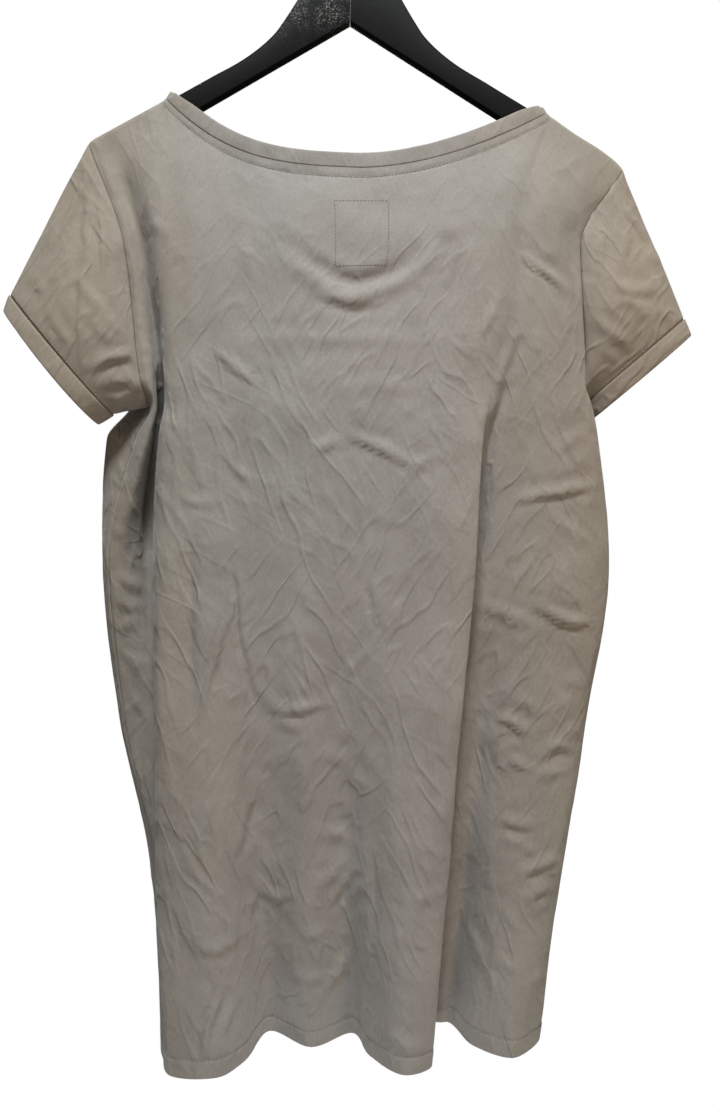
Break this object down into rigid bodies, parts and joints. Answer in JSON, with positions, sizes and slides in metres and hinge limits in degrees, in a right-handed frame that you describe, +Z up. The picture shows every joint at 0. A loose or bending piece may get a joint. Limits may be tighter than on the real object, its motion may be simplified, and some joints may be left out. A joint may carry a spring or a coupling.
{
  "type": "t-shirt dress on a hanger",
  "caption": "Loose knee-length jersey t-shirt dress with a scoop neck and short cuffed sleeves, hanging in soft folds from a wooden hanger.",
  "frame": {"origin": "where the hanger's hook rests on its rail, at the inner top of the hook", "axes": "+Z up; the back of the dress faces -Y and its front +Y; +X is the wearer's right"},
  "size_m": [0.6166, 0.1513, 1.0488],
  "materials": {
    "back": "matte jersey",
    "front": "matte jersey",
    "sleeve_left": "matte jersey",
    "sleeve_right": "matte jersey",
    "cuff_left": "matte jersey, folded double",
    "cuff_right": "matte jersey, folded double",
    "neckband": "matte jersey, folded double",
    "hanger_arm_left": "black lacquer, worn by the hook",
    "hanger_arm_right": "black lacquer",
    "hanger_hook": "bright wire"
  },
  "bodies": {
    "root": {"back": "back", "front": "front", "sleeve_left": "sleeve_left", "sleeve_right": "sleeve_right", "cuff_left": "cuff_left", "cuff_right": "cuff_right", "neckband": "neckband", "hanger_arm_left": "hanger_arm_left", "hanger_arm_right": "hanger_arm_right", "hanger_hook": "hanger_hook"}
  },
  "joints": []
}
